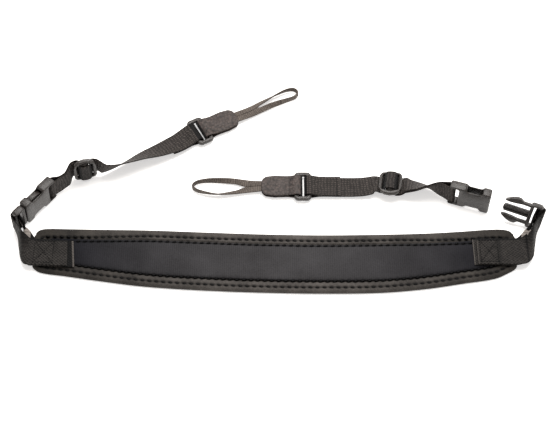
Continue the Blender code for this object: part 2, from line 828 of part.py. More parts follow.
STRAP = bpy.data.collections.new("camera_neck_strap")
CUTTERS = bpy.data.collections.new("cutters")
bpy.context.scene.collection.children.link(STRAP)
bpy.context.scene.collection.children.link(CUTTERS)
ORIGIN = bpy.data.objects.new("strap_origin", None)
ORIGIN.location = vector(-STRAP_MIDDLE[0], -STRAP_MIDDLE[1]) * MM
STRAP.objects.link(ORIGIN)

NEOPRENE = make_material("neoprene", "#45423f", 0.85)
KNIT = make_material("knit_panel", "#403f42", 0.8)
NYLON = make_material("nylon_webbing", "#3c3835", 0.75)
PLASTIC = make_material("moulded_plastic", "#3a3634", 0.45)
LEATHER = make_material("leather", "#4a4643", 0.6)
TAPE = make_material("loop_tape", "#524e4a", 0.6)

MESHES = {
    "male": male_buckle_mesh(),
    "female": female_buckle_mesh(),
    "slider": slider_mesh(),
    "ring": ring_mesh(),
    "tab": leather_tab_mesh(),
}

pad = add_part("neck_pad", make_neck_pad(), NEOPRENE)
smooth = pad.modifiers.new("Softness", "SUBSURF")
smooth.levels = 1
smooth.render_levels = 1
add_part("centre_panel", make_centre_panel(), KNIT)

left_bar = Line(LEFT_LINE).frame(0.0)
right_forward = Matrix.Rotation(math.radians(RIGHT_MALE_HEADING), 3, "Z") @ (
    Matrix.Rotation(math.radians(-RIGHT_MALE_PITCH), 3, "Y") @ vector(1.0, 0.0)
)
right_bar = frame_from(Vector(RIGHT_MALE_BAR), right_forward, RIGHT_MALE_TILT)
add_part("male_buckle_left", MESHES["male"], PLASTIC, frame_matrix(left_bar))
add_part("male_buckle_right", MESHES["male"], PLASTIC, frame_matrix(right_bar))
add_part("end_webbing_left", end_webbing("webbing", LEFT_INNER, LEFT_OUTER, left_bar, 1), NYLON)
add_part("end_webbing_right", end_webbing("webbing", RIGHT_INNER, RIGHT_OUTER, right_bar, -1), NYLON)
add_connector("left", LEFT_LINE, LEFT_FEMALE_AT, LEFT_SLIDER_AT, LEFT_RING_AT, LEFT_TAPE)
add_connector("right", RIGHT_LINE, RIGHT_FEMALE_AT, RIGHT_SLIDER_AT, RIGHT_RING_AT, RIGHT_TAPE)
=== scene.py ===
"""The looks of a camera neck strap that lies on a white table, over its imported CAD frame.

Lengths are in millimetres and angles in degrees, as in the CAD: MM turns them into Blender's
metres. Places are measured from the strap's own middle, and world() moves them to the frame's.
"""

import bisect
import math

import bmesh
import bpy
import numpy as np
from mathutils import Matrix, Vector, kdtree, noise

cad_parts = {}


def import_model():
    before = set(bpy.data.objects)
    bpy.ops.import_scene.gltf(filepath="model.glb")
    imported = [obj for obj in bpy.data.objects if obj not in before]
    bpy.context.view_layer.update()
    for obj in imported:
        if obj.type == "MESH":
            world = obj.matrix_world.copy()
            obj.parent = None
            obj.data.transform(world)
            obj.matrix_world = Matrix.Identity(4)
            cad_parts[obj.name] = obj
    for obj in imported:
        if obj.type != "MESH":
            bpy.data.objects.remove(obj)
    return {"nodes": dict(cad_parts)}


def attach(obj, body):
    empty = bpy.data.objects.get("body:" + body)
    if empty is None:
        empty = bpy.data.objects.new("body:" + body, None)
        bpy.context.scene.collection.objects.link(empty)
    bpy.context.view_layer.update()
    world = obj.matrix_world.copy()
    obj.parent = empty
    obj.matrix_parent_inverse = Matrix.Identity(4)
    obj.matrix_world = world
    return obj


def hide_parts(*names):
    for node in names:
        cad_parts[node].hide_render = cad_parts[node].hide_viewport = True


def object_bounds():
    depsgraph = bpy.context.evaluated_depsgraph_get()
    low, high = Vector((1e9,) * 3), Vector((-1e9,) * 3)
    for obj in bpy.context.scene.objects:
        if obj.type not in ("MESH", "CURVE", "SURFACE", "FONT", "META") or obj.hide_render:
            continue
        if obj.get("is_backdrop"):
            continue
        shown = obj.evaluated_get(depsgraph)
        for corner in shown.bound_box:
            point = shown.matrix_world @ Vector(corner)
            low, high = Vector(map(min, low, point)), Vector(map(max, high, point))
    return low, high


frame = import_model()
cad_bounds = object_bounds()

MM = 0.001
STRAP_MIDDLE = Vector((2.9, 23.2, 0.0))
UP = Vector((0.0, 0.0, 1.0))


def world(point):
    """A place on the strap, in millimetres, as a place in the frame, in metres."""
    return (Vector(point) - STRAP_MIDDLE) * MM


def shown(item):
    """The object, linked to the scene."""
    bpy.context.scene.collection.objects.link(item)
    return item


# The camera looks down on the strap from in front, with a long lens.
CAMERA_ELEVATION = 56.0
CAMERA_DISTANCE = 1070.0
CAMERA_LENS = 85.0


def add_camera():
    """A camera that is aimed at the strap's middle."""
    lens = bpy.data.cameras.new("camera")
    lens.lens = CAMERA_LENS
    camera = bpy.data.objects.new("camera", lens)
    turn = math.radians(CAMERA_ELEVATION)
    back = Vector((0.0, -math.cos(turn), math.sin(turn))) * CAMERA_DISTANCE
    camera.location = world(back)
    camera.rotation_euler = (math.radians(90.0 - CAMERA_ELEVATION), 0.0, 0.0)
    bpy.context.scene.camera = shown(camera)


# Lines. A connector's line and a tape's line are the CAD's own tables.


def distances(rows):
    """How far along its line each row's place lies."""
    at = [0.0]
    for before, after in zip(rows, rows[1:]):
        at.append(at[-1] + math.dist(before[:3], after[:3]))
    return at


def smooth_rows(rows, step):
    """Rows on a smooth curve through the given rows, about step apart. A row starts with a place."""
    knots = distances(rows)
    rows = np.array(rows)
    last = len(rows) - 1
    ends = [(max(k - 1, 0), min(k + 1, last)) for k in range(last + 1)]
    slopes = [(rows[high] - rows[low]) / (knots[high] - knots[low]) for low, high in ends]
    smooth = []
    for index in range(last):
        span = knots[index + 1] - knots[index]
        count = max(1, round(span / step))
        for k in range(count):
            t = k / count
            row = (1 + 2 * t) * (1 - t) ** 2 * rows[index]
            row += t * (1 - t) ** 2 * span * slopes[index]
            row += t * t * (3 - 2 * t) * rows[index + 1]
            row += t * t * (t - 1) * span * slopes[index + 1]
            smooth.append(row.tolist())
    return [*smooth, rows[last].tolist()]


class Line:
    """A strap's middle line, with the way it faces at each place along it."""

    STEP = 1.5

    def __init__(self, rows):
        self.rows = smooth_rows(rows, self.STEP)
        self.at = distances(self.rows)
        self.length = self.at[-1]

    def place(self, along):
        """(x, y, z, tilt) at a distance along the line, carried on straight past its ends."""
        index = bisect.bisect_left(self.at, along, 1, len(self.at) - 1) - 1
        share = (along - self.at[index]) / (self.at[index + 1] - self.at[index])
        low, high = self.rows[index], self.rows[index + 1]
        return [a + (b - a) * share for a, b in zip(low, high)]

    def frame(self, along):
        """(middle, forward, width, up) as vectors at a distance along the line."""
        *middle, tilt = self.place(along)
        forward = Vector(self.place(along + 1.0)[:3]) - Vector(self.place(along - 1.0)[:3])
        return frame_from(Vector(middle), forward.normalized(), tilt)


def frame_from(middle, forward, tilt):
    """(middle, forward, width, up) from a place, a heading and a turn about it."""
    flat = UP.cross(forward).normalized()
    rise = forward.cross(flat)
    turn = math.radians(tilt)
    width = flat * math.cos(turn) + rise * math.sin(turn)
    return middle, forward, width, forward.cross(width)


def arc(middle, radius, start, end, steps):
    """Points of an arc from one angle to another, about a middle on the first axis."""
    angles = [math.radians(start + (end - start) * k / steps) for k in range(steps + 1)]
    return [(middle + radius * math.cos(angle), radius * math.sin(angle)) for angle in angles]


# Materials. These are the colours of each thing's own surface, dark and light, then two painted
# ones.
NEOPRENE = ("#2d2b2a", "#5c5855")
NEOPRENE_AT_ENDS = ("#1c1b1b", "#383531")
KNIT = ("#292829", "#444345")
KNIT_AT_ENDS = ("#07080d", "#13141b")
PLASTIC = ("#171413", "#35302d")
LEATHER = ("#151110", "#554a46")
THREAD = ("#050506", "#0c0c0e")
# Painted shade, and the colour of painted highlights and of paler cut ends.
SHADED = "#070708"
PALE_EDGE_AND_HIGHLIGHT = "#8f8883"
FADE_REACH = 185.0  # from the pad's middle to where its colours are those of its ends
WEAVES = (
    # name, colours, spacing of the ribs and of the yarns, depth, how much of a twill
    ("woven_nylon_webbing", "#040404", "#33302e", 2.9, 2.5, 0.45, 1.0),
    ("ribbed_nylon_webbing", "#191716", "#4e4845", 2.64, 2.0, 0.35, 0.0),
    ("woven_nylon_tape", "#3a3430", "#7d746d", 1.6, 1.2, 0.2, 0.0),
)


def linear(hex_colour):
    """An sRGB hex colour as linear red, green, blue and alpha."""
    channels = [int(hex_colour[i : i + 2], 16) / 255 for i in (1, 3, 5)]
    bent = [c / 12.92 if c <= 0.04045 else ((c + 0.055) / 1.055) ** 2.4 for c in channels]
    return (*bent, 1.0)


def set_inputs(tree, node, inputs):
    """A node's inputs set, each to a value or to another node's socket."""
    for key, value in inputs.items():
        if isinstance(value, bpy.types.NodeSocket):
            tree.links.new(value, node.inputs[key])
        else:
            node.inputs[key].default_value = value


def add_node(tree, kind, inputs=None, **settings):
    """The outputs of a new node with its settings made and its inputs set."""
    node = tree.nodes.new(kind)
    for name, value in settings.items():
        setattr(node, name, value)
    set_inputs(tree, node, inputs or {})
    return node.outputs


def per_metre(size):
    """The texture scale that gives features of this size in millimetres."""
    return 1.0 / (size * MM)


def start_material(name, roughness, ior, specular, sheen=0.0):
    """A material with its shader's surface set, its node tree, and places on the piece."""
    material = bpy.data.materials.new(name)
    material.use_nodes = True
    tree = material.node_tree
    surface = {"Roughness": roughness, "IOR": ior, "Specular IOR Level": specular}
    surface["Sheen Weight"] = sheen
    set_inputs(tree, tree.nodes["Principled BSDF"], surface)
    return material, tree, add_node(tree, "ShaderNodeTexCoord")["Object"]


def noise_of(tree, place, size, detail=2.0, roughness=0.5):
    """Noise with features of this size in millimetres, nearly all of it from 0.3 to 0.7."""
    inputs = {"Vector": place, "Scale": per_metre(size), "Detail": detail, "Roughness": roughness}
    return add_node(tree, "ShaderNodeTexNoise", inputs)["Fac"]


def strong_noise(tree, place, size, detail=2.0, roughness=0.5):
    """The same noise, stretched to run from 0 to 1."""
    value = noise_of(tree, place, size, detail, roughness)
    inputs = {"Value": value, "From Min": 0.3, "From Max": 0.7}
    return add_node(tree, "ShaderNodeMapRange", inputs)["Result"]


def maths(tree, operation, first, second=0.0):
    """The value of a maths node. MULTIPLY_ADD adds the node's own third value, a half."""
    return add_node(tree, "ShaderNodeMath", {0: first, 1: second}, operation=operation)[0]


def times(tree, first, second):
    return maths(tree, "MULTIPLY", first, second)


def ripple(tree, value, period):
    """A smooth wave of this period in millimetres, from 0 to 1."""
    turned = maths(tree, "COSINE", times(tree, value, math.tau / period))
    return maths(tree, "MULTIPLY_ADD", turned, 0.5)


def mixed(tree, factor, low, high):
    """A colour between two, by a factor from 0 to 1. A colour is a hex string or a socket."""
    ends = [linear(end) if isinstance(end, str) else end for end in (low, high)]
    inputs = {0: factor, 6: ends[0], 7: ends[1]}
    return add_node(tree, "ShaderNodeMix", inputs, data_type="RGBA")[2]


def with_painted_light(tree, colour):
    """The colour by the mesh's marks: painted shade above 0, and below 0 painted highlight and paler
    cut ends.
    """
    marks = add_node(tree, "ShaderNodeAttribute", attribute_name="painted_light")["Fac"]
    colour = mixed(tree, maths(tree, "MINIMUM", marks, 1.0), colour, SHADED)
    return mixed(tree, times(tree, marks, -1.0), colour, PALE_EDGE_AND_HIGHLIGHT)


def finished(material, colour, layers=()):
    """The material in its colour, with bump from (height, depth in mm) layers, coarse ones first."""
    tree = material.node_tree
    inputs = {"Base Color": colour}
    for height, depth in layers:
        bump = {"Height": height, "Distance": depth * MM}
        if "Normal" in inputs:
            bump["Normal"] = inputs["Normal"]
        inputs["Normal"] = add_node(tree, "ShaderNodeBump", bump)["Normal"]
    set_inputs(tree, tree.nodes["Principled BSDF"], inputs)
    return material


def darker_at_ends(tree, place, shade, middle, ends):
    """A colour by its shade: paler in the pad's middle, darker towards its ends."""
    along = add_node(tree, "ShaderNodeSeparateXYZ", {0: place})["X"]
    share = times(tree, along, per_metre(FADE_REACH))
    share = times(tree, share, share)
    return mixed(tree, share, mixed(tree, shade, *middle), mixed(tree, shade, *ends))


def make_neoprene():
    """Neoprene foam faced with nylon jersey: matt, soft, a fine loop knit, painted shade in every
    pucker.
    """
    material, tree, place = start_material("jersey_faced_neoprene", 0.9, 1.5, 0.1)
    cloudy = strong_noise(tree, place, 16.0, detail=4.0)
    knit = strong_noise(tree, place, 1.3, detail=3.0, roughness=0.8)
    shade = times(tree, maths(tree, "ADD", cloudy, knit), 0.5)
    colour = darker_at_ends(tree, place, shade, NEOPRENE, NEOPRENE_AT_ENDS)
    return finished(material, with_painted_light(tree, colour), [(cloudy, 0.3), (knit, 0.16)])


def make_knit():
    """Warp-knit nylon over foam: cool dark grey with faint wales, dull, slightly mottled."""
    material, tree, place = start_material("warp_knit_nylon", 0.9, 1.5, 0.06)
    along = add_node(tree, "ShaderNodeSeparateXYZ", {0: place})["X"]
    wales = ripple(tree, times(tree, along, 1.0 / MM), 1.7)
    cloudy = strong_noise(tree, place, 24.0, detail=5.0)
    grain = strong_noise(tree, place, 1.2, detail=3.0, roughness=0.8)
    shade = times(tree, maths(tree, "ADD", cloudy, grain), 0.4)
    shade = maths(tree, "ADD", shade, times(tree, wales, 0.2))
    colour = darker_at_ends(tree, place, shade, KNIT, KNIT_AT_ENDS)
    layers = [(cloudy, 0.3), (wales, 0.05), (grain, 0.12)]
    return finished(material, with_painted_light(tree, colour), layers)


def make_weave(name, dark, light, cross, along, depth, twill):
    """Woven nylon: warp yarns over cross ribs, with painted shade between them and paler crowns,
    patchy at random.

    twill is how much of the yarns that pass under shows, from a grid (0) to diamonds (1).
    """
    material, tree, place = start_material(name, 0.65, 1.53, 0.12, sheen=0.02)
    coords = add_node(tree, "ShaderNodeTexCoord")
    woven = add_node(tree, "ShaderNodeSeparateXYZ", {0: coords["UV"]})
    stray = strong_noise(tree, place, 4.5)
    ribs = ripple(tree, maths(tree, "ADD", woven["X"], times(tree, stray, 1.6)), cross)
    yarns = ripple(tree, maths(tree, "SUBTRACT", woven["Y"], stray), along)
    over = times(tree, ribs, yarns)
    gaps = [maths(tree, "SUBTRACT", 1.0, wave) for wave in (ribs, yarns)]
    under = times(tree, times(tree, *gaps), twill)
    weave = maths(tree, "ADD", over, under)
    patchy = strong_noise(tree, place, 5.0, detail=5.0, roughness=0.8)
    # The gaps between the yarns get painted shade; the crowns are paler in random patches.
    crowns = times(tree, weave, maths(tree, "MULTIPLY_ADD", patchy, 0.7))
    shade = maths(tree, "ADD", crowns, times(tree, patchy, 0.25))
    colour = with_painted_light(tree, mixed(tree, shade, dark, light))
    fuzz = noise_of(tree, place, 0.7, roughness=0.8)
    return finished(material, colour, [(weave, depth), (fuzz, 0.12)])


def make_plastic():
    """Injection-moulded acetal: dark and satin, with the fine sparked grain of its mould."""
    material, tree, place = start_material("moulded_acetal", 0.33, 1.48, 0.55)
    cloudy = strong_noise(tree, place, 2.6, detail=5.0, roughness=0.8)
    grain = noise_of(tree, place, 0.9, detail=4.0, roughness=0.8)
    return finished(material, mixed(tree, cloudy, *PLASTIC), [(cloudy, 0.12), (grain, 0.25)])


def make_leather():
    """Embossed cowhide: pebbles a millimetre across, dull, with painted shade between them and paler
    tops.
    """
    material, tree, place = start_material("pebbled_cowhide", 0.55, 1.5, 0.3, sheen=0.03)
    inputs = {"Vector": place, "Scale": per_metre(2.2), "Smoothness": 0.3}
    pebbles = add_node(tree, "ShaderNodeTexVoronoi", inputs, feature="SMOOTH_F1")
    tops = maths(tree, "SUBTRACT", 1.0, pebbles["Distance"])
    cloudy = strong_noise(tree, place, 4.0, detail=4.0)
    shade = times(tree, tops, maths(tree, "MULTIPLY_ADD", cloudy, 0.6))
    colour = with_painted_light(tree, mixed(tree, shade, *LEATHER))
    creases = noise_of(tree, place, 1.0, detail=3.0, roughness=0.6)
    return finished(material, colour, [(cloudy, 0.4), (tops, 0.3), (creases, 0.12)])


def make_thread():
    """Bonded nylon thread, drawn thick enough to show: nearly black, a little shiny."""
    material, tree, place = start_material("bonded_nylon_thread", 0.6, 1.53, 0.1)
    return finished(material, mixed(tree, noise_of(tree, place, 2.0), *THREAD))


# Making and finishing pieces
SELVEDGE_ANGLES = (0, 35, 62, 90)


def add_piece(item, material, nodes=()):
    """The piece takes its material, rides the strap's one body and stands for its CAD nodes."""
    item.data.materials.clear()
    item.data.materials.append(material)
    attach(item, "root")
    if nodes:
        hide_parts(*nodes)
    return item


def loft(name, rings, marks=None, painted_light=None):
    """A closed skin through rings of points in millimetres.

    marks are each point's UV place, and the last argument its painted shade, and below 0 its painted
    highlight and paler cut ends.
    """
    size = len(rings[0])
    points = [world(point) for ring in rings for point in ring]
    faces = []
    for row in range(len(rings) - 1):
        for k in range(size):
            here, follow = row * size + k, row * size + (k + 1) % size
            faces.append((here, follow, follow + size, here + size))
    faces.append(tuple(reversed(range(size))))
    faces.append(tuple(range(len(points) - size, len(points))))
    mesh = bpy.data.meshes.new(name)
    mesh.from_pydata(points, [], faces)
    work = bmesh.new()
    work.from_mesh(mesh)
    bmesh.ops.recalc_face_normals(work, faces=work.faces)
    work.to_mesh(mesh)
    work.free()
    if painted_light:
        flat = [value for ring in painted_light for value in ring]
        mesh.attributes.new("painted_light", "FLOAT", "POINT").data.foreach_set("value", flat)
    if marks:
        flat = [mark for ring in marks for mark in ring]
        layer = mesh.uv_layers.new(name="weave")
        for loop in mesh.loops:
            layer.data[loop.index].uv = flat[loop.vertex_index]
    mesh.shade_smooth()
    return shown(bpy.data.objects.new(name, mesh))


def band(name, stations, thickness, columns, shading=None):
    """A band with round selvedges through (middle, across, width) stations.

    The last argument gives each point's painted shade, and below 0 painted highlight, from the
    point, its place along and its place across.
    """
    radius = thickness / 2
    rings, marks, painted_light = [], [], []
    along = 0.0
    last = len(stations) - 1
    for index, (middle, across, width) in enumerate(stations):
        before, after = stations[max(index - 1, 0)][0], stations[min(index + 1, last)][0]
        up = (after - before).cross(across).normalized()
        if index:
            along += (middle - stations[index - 1][0]).length
        half = width / 2
        spread = half - radius
        edge = [half - radius * (1 - math.cos(math.radians(a))) for a in SELVEDGE_ANGLES]
        inner = [spread * (1 - 2 * k / columns) for k in range(1, columns)]
        offsets = [-o for o in edge] + [-o for o in inner] + list(reversed(edge))
        top, under = [], []
        for offset in offsets:
            past = max(abs(offset) - spread, 0.0) / radius
            height = radius * math.sqrt(max(1.0 - past * past, 0.0))
            top.append(middle + across * offset + up * height)
            under.append(middle + across * offset - up * height)
        places = [(along, offset) for offset in offsets]
        rings.append(top + under[-2:0:-1])
        marks.append(places + places[-2:0:-1])
        if shading:
            painted_light.append([shading(point, *mark) for point, mark in zip(rings[-1], marks[-1])])
    return loft(name, rings, marks, painted_light)


def length_of(stations):
    return sum((b[0] - a[0]).length for a, b in zip(stations, stations[1:]))


def refined(node, name):
    """A CAD node's shape as one smooth-shaded mesh with its sharp edges eased."""
    mesh = frame["nodes"][node].data.copy()
    mesh.name = name
    work = bmesh.new()
    work.from_mesh(mesh)
    bmesh.ops.remove_doubles(work, verts=work.verts, dist=0.004 * MM)
    flat = math.radians(1.0)
    bmesh.ops.dissolve_limit(work, angle_limit=flat, verts=work.verts, edges=work.edges)
    work.to_mesh(mesh)
    work.free()
    item = shown(bpy.data.objects.new(name, mesh))
    bevel = item.modifiers.new("Eased edges", "BEVEL")
    bevel.width = 0.22 * MM
    bevel.segments = 2
    bevel.limit_method = "ANGLE"
    bevel.angle_limit = math.radians(40.0)
    bevel.harden_normals = True
    mesh.shade_smooth()
    return plain(item, name)


def plain(item, name):
    """The item with its modifiers worked into a plain mesh."""
    bpy.context.view_layer.update()
    graph = bpy.context.evaluated_depsgraph_get()
    mesh = bpy.data.meshes.new_from_object(item.evaluated_get(graph))
    bpy.data.objects.remove(item)
    mesh.name = name
    return shown(bpy.data.objects.new(name, mesh))


# The neck pad. Its sections and heights are the CAD's, with seams and stitches pressed into them and
# painted shade in those dents.
PAD_SECTIONS = (
    # along, middle, width
    (-196.4, -27.7, 25.6), (-194.2, -27.5, 35.0), (-188.0, -28.3, 41.4),
    (-168.0, -30.0, 44.6), (-140.0, -32.6, 48.6), (-105.0, -35.4, 53.0),
    (-60.0, -38.1, 54.6), (-10.0, -40.2, 54.8), (40.0, -41.1, 54.8),
    (85.0, -40.4, 54.6), (120.0, -38.2, 52.2), (150.0, -34.8, 49.0),
    (176.0, -31.4, 46.4), (187.5, -28.8, 40.8), (193.5, -28.1, 34.0),
    (196.0, -28.5, 24.0),
)
SEAMS_AT = (
    # inset, more of it at the far side and less at the near one, slant in radians, more at far ends
    (5.4, 1.3, -0.3, 2.2),
    (10.65, 1.05, 0.25, 1.3),
)
PAD_STITCH_PITCH = 5.6
PAD_STITCH = (3.3, 1.6)  # length, thickness
PAD_HEIGHTS = (
    # inset from the pad's outline, height of its top
    (0.0, 1.7), (0.3, 2.8), (0.8, 3.6), (1.6, 4.2), (2.9, 4.5),
    (6.0, 4.4), (8.7, 4.3), (9.6, 3.7), (10.0, 3.2), (60.0, 3.2),
)
PAD_UNDERSIDE = (
    # inset from the pad's outline, height of its underside
    (0.0, 1.0), (0.4, 0.5), (1.2, 0.12), (2.5, 0.0), (8.0, 0.0),
)
PANEL_REACH = 183.0
PANEL_UNDERSIDE = 3.5
PANEL_RISE = (
    # past the inner seam, height of the panel's top
    (0.1, 3.6), (0.5, 4.2), (1.3, 4.8), (2.8, 5.1), (9.0, 5.2),
)
NEAR_SIDE_BELOW = -35.0
SEAM_REACH = 0.9
STITCH_REACH_ALONG = 1.9
STITCH_REACH_ACROSS = 1.25
ON_PANEL_FROM = 8.4
ON_PANEL_HEIGHT = 4.5


def pad_sections(step):
    """(along, middle, width) of the pad's sections, step apart and closer together at its ends."""
    rows = smooth_rows([(a, m, 0.0, w) for a, m, w in PAD_SECTIONS], step)
    rows = [(a, m, w) for a, m, _, w in rows]
    left, right = rows[0], rows[-1]
    near = [0.15, 0.4, 0.8]
    starts = [(left[0] + d, left[1], left[2] + 3.2 * d) for d in near]
    ends = [(right[0] - d, right[1], right[2] + 3.2 * d) for d in reversed(near)]
    middle = [row for row in rows[1:-1] if left[0] + 1.2 < row[0] < right[0] - 1.2]
    return [left, *starts, *middle, *ends, right]


def pad_outline():
    """The pad's outline, along its near edge and back along its far one."""
    rows = pad_sections(2.0)
    near = [Vector((a, m - w / 2)) for a, m, w in rows]
    far = [Vector((a, m + w / 2)) for a, m, w in rows]
    return near + far[::-1]


def inset_from(outline, points):
    """How far inside a closed outline each point lies, as an array."""
    starts = np.array(outline)
    ends = np.roll(starts, -1, axis=0)
    spans = ends - starts
    lengths = np.maximum((spans**2).sum(axis=1), 1e-9)
    insets = []
    for chunk in np.array_split(np.array(points), 40):
        gaps = chunk[:, None, :] - starts[None]
        shares = np.clip((gaps * spans[None]).sum(axis=2) / lengths, 0.0, 1.0)
        nearest = gaps - shares[..., None] * spans[None]
        insets.append(np.sqrt((nearest**2).sum(axis=2)).min(axis=1))
    return np.concatenate(insets)


def endness(x):
    """0 along the pad's middle, rising to 1 near its ends."""
    return min(max((abs(x) - 100.0) / 60.0, 0.0), 1.0)


def seam_line(outline, inset, more, end_more):
    """The outline moved inwards, further at the far side, as points a fifth of a mm apart."""
    points, wanted = [], []
    count = len(outline)
    for index, here in enumerate(outline):
        ahead = outline[(index + 1) % count] - outline[index - 1]
        inward = Vector((-ahead.y, ahead.x)).normalized()
        extra = end_more * endness(here.x) * max(-inward.y, 0.0)
        wanted.append(inset - more * inward.y + extra)
        points.append(here + inward * wanted[-1])
    insets = inset_from(outline, points)
    return spaced([p for p, d, w in zip(points, insets, wanted) if d > w - 0.3], 0.2)


def spaced(points, pitch, closed=True):
    """Points a whole number of pitches apart along a line."""
    loop = points + points[:1] if closed else points
    lengths = [0.0]
    for before, after in zip(loop, loop[1:]):
        lengths.append(lengths[-1] + (after - before).length)
    count = round(lengths[-1] / pitch)
    places = []
    for k in range(count + (not closed)):
        at = lengths[-1] * k / count
        index = bisect.bisect_left(lengths, at, 1, len(lengths) - 1) - 1
        share = (at - lengths[index]) / max(lengths[index + 1] - lengths[index], 1e-6)
        places.append(loop[index].lerp(loop[index + 1], share))
    return places


def near_tree(points):
    """A search tree of points, by where they lie on the table."""
    tree = kdtree.KDTree(len(points))
    for index, point in enumerate(points):
        tree.insert(point.to_3d(), index)
    tree.balance()
    return tree


def table_value(table, x):
    """The value at x in a table of (x, value) rows, level past its ends."""
    return float(np.interp(x, [row[0] for row in table], [row[1] for row in table]))


def headed(places, slant):
    """(middle, heading) of each stitch of a closed seam, its heading turned by its slant."""
    turn = Matrix.Rotation(slant, 2)
    count = len(places)
    headings = [(places[(k + 1) % count] - places[k - 1]).normalized() for k in range(count)]
    return [(place, turn @ heading) for place, heading in zip(places, headings)]


def seam_stitches(seams):
    """Each seam's stitches: those of the inner seam stand between those of the outer one."""
    outer = spaced(seams[0], PAD_STITCH_PITCH)
    tree = near_tree(seams[1])
    between = [(a + b) / 2 for a, b in zip(outer, outer[1:] + outer[:1])]
    inner = [seams[1][tree.find(place.to_3d())[1]] for place in between]
    return [headed(places, at[2]) for places, at in zip((outer, inner), SEAMS_AT)]


OUTLINE = pad_outline()
SEAMS = [seam_line(OUTLINE, inset, more, end_more) for inset, more, _, end_more in SEAMS_AT]
SEAM_TREE = near_tree(SEAMS[0] + SEAMS[1])
SEAM_STITCHES = seam_stitches(SEAMS)
STITCHES = SEAM_STITCHES[0] + SEAM_STITCHES[1]
STITCH_TREE = near_tree([middle for middle, _ in STITCHES])
SMOOTH_HEIGHTS = smooth_rows([(a, h, 0.0) for a, h in PAD_HEIGHTS], 0.25)


def seam_press(x, y):
    """How near a place lies to a seam and to a stitch, from 0 to 1, and its distance from that."""
    spot = Vector((x, y, 0.0))
    line = math.exp(-((SEAM_TREE.find(spot)[2] / SEAM_REACH) ** 2))
    _, nearest, distance = STITCH_TREE.find(spot)
    middle, heading = STITCHES[nearest]
    gap = spot.xy - middle
    along = gap.dot(heading) / STITCH_REACH_ALONG
    across = (gap.x * heading.y - gap.y * heading.x) / STITCH_REACH_ACROSS
    return line, math.exp(-(along * along + across * across)), distance


def pad_top(x, y, inset):
    """The height of the pad's top, pulled down along its seams and most at each stitch, and the
    painted shade in those dents.
    """
    line, hole, _ = seam_press(x, y)
    height = table_value(SMOOTH_HEIGHTS, inset) - 0.45 * line - 0.75 * hole
    wander = noise.noise(Vector((x, y, 0.0)) / 17.0) * 0.25 * min(inset / 3.0, 1.0)
    return max(height + wander, 0.4), min(0.35 * line + 0.95 * hole, 1.0)


def panel_crown(along):
    """1 along the panel's middle, falling to 0 near its ends."""
    return max(0.0, 1.0 - (abs(along) / 148.0) ** 6)


def panel_top(x, y, inset):
    """The height of the panel's top: tucked into the inner seam, then slack over the foam, and the
    painted shade in its seams and stitch holes.
    """
    seam, more, _, end_more = SEAMS_AT[1]
    past = inset - seam + (more if y < NEAR_SIDE_BELOW else -more - end_more * endness(x))
    crown = panel_crown(x) * min(max(past / 9.0, 0.0), 1.0) ** 0.6
    line, hole, gap = seam_press(x, y)
    tuck = 0.5 * math.exp(-((gap / 2.6) ** 2))
    slack = noise.noise(Vector((x / 26.0, y / 11.0, 3.0))) * 0.35 * panel_crown(x)
    slack += noise.noise(Vector((x / 7.0, y / 9.0, 8.0))) * 0.12
    height = table_value(PANEL_RISE, past) + crown - tuck + slack * min(past / 2.0, 1.0)
    return max(height, PANEL_UNDERSIDE + 0.05), min(0.6 * line + 0.8 * hole, 1.0)


def tops_of(sections, edge, inner, top_at):
    """Each section with its top's points, from edge to edge, and the painted shade of each of them.
    """
    across, flat = [], []
    for along, middle, width in sections:
        reach = width / 2 - edge[-1]
        near = [middle - width / 2 + inset for inset in edge]
        core = [middle - reach * (1 - 2 * k / inner) for k in range(1, inner)]
        far = [middle + width / 2 - inset for inset in reversed(edge)]
        across.append(near + core + far)
        flat += [(along, y) for y in across[-1]]
    insets = inset_from(OUTLINE, flat).reshape(len(sections), -1)
    for section, ys, depths in zip(sections, across, insets):
        tops = [top_at(section[0], y, depth) for y, depth in zip(ys, depths)]
        points = [Vector((section[0], y, top)) for y, (top, _) in zip(ys, tops)]
        yield section, points, [mark for _, mark in tops]


def make_neck_pad():
    """Foam with a rolled edge and two seams all round, lying flat on the table."""
    edge = [0.0, 0.12, 0.35, 0.7, 1.1, 1.6, 2.2, 2.9, 3.6]
    edge += [4.2 + 0.42 * k for k in range(19)]
    sections = pad_sections(0.8)
    rings, painted_light = [], []
    for (along, middle, width), top, marks in tops_of(sections, edge, 8, pad_top):
        end = min(along - sections[0][0], sections[-1][0] - along)
        lift = table_value(PAD_UNDERSIDE, end)
        rim = [(inset, max(height, lift)) for inset, height in PAD_UNDERSIDE]
        far = [Vector((along, middle + width / 2 - inset, height)) for inset, height in rim]
        near = [Vector((along, middle - width / 2 + inset, height)) for inset, height in rim[::-1]]
        rings.append(top + far + near)
        painted_light.append(marks + [0.0] * len(far + near))
    return loft("pad", rings, painted_light=painted_light)


def make_centre_panel():
    """A knit cover over the pad's middle, tucked in all round under the inner row of stitches."""
    edge = [10.3, 10.6, 10.9, 11.3, 11.7, 12.1, 12.5, 13.0, 13.8, 15.0]
    sections = [row for row in pad_sections(0.9) if abs(row[0]) <= PANEL_REACH]
    rings, painted_light = [], []
    for (along, middle, _), top, marks in tops_of(sections, edge, 14, panel_top):
        under = [Vector((along, y, PANEL_UNDERSIDE)) for y in (top[-1].y, middle, top[0].y)]
        rings.append(top + under)
        painted_light.append(marks + [0.0] * len(under))
    return loft("panel", rings, painted_light=painted_light)


